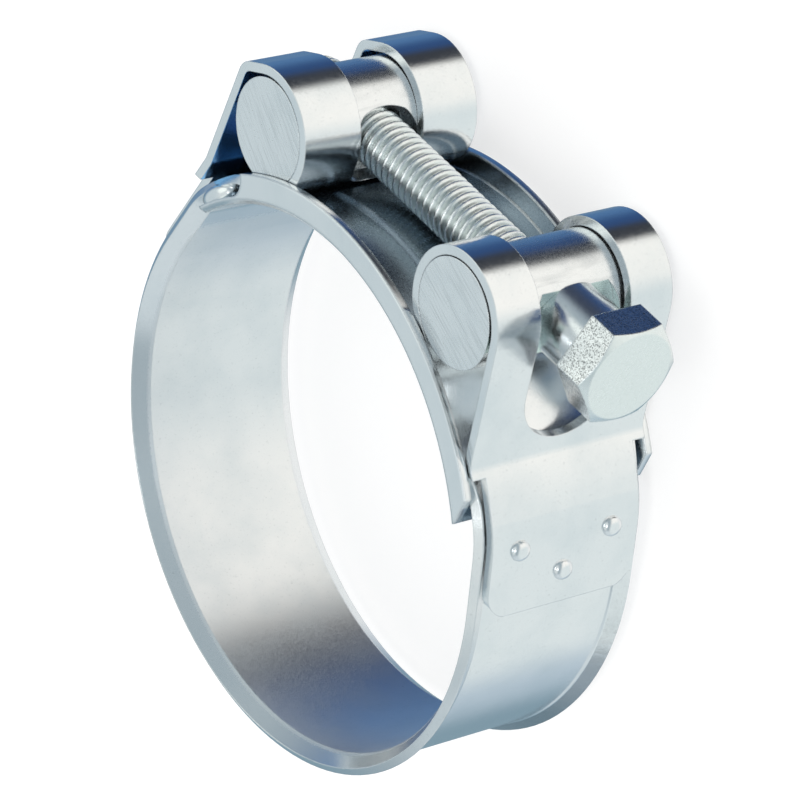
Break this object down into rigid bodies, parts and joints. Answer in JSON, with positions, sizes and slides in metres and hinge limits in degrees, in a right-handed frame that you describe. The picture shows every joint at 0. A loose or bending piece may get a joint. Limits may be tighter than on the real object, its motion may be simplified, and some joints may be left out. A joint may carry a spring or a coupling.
{
  "type": "single-bolt band hose clamp",
  "caption": "Heavy-duty steel band clamp for a hose, closed by one hex bolt through two cross pins, with a channel bridge under the gap.",
  "frame": {"origin": "centre of the hose bore, halfway along the clamp's width", "axes": "+Z along the hose, +Y from the bore to the bolt, +X towards the bolt's head"},
  "size_m": [0.0623, 0.07, 0.023],
  "materials": {
    "zinc_strip": "zinc-plated rolled steel strip, smooth",
    "zinc_bridge": "zinc-plated rolled steel plate, smooth",
    "zinc_pin": "zinc-plated turned steel with sawn ends",
    "zinc_sleeve": "zinc-plated turned steel",
    "zinc_bolt": "zinc-plated cold-headed steel, rolled thread"
  },
  "bodies": {
    "clamp": {"band": "zinc_strip", "bridge": "zinc_bridge", "nut_trunnion": "zinc_pin", "plain_trunnion": "zinc_pin"},
    "sleeve": {"spacer_sleeve": "zinc_sleeve"},
    "screw": {"bolt": "zinc_bolt"}
  },
  "joints": [
    {"name": "sleeve_slide", "type": "slide", "parent": "clamp", "child": "sleeve", "axis": [1, 0, 0], "range_m": [0, 0.012]},
    {"name": "bolt_turn", "type": "hinge", "parent": "sleeve", "child": "screw", "pos_m": [0.0278, 0.03285, 0], "axis": [1, 0, 0], "range_deg": [0, 4320]}
  ],
  "couplings": [
    {"joint": "bolt_turn", "follows": "sleeve_slide", "rad_per_m": 6283.2}
  ]
}
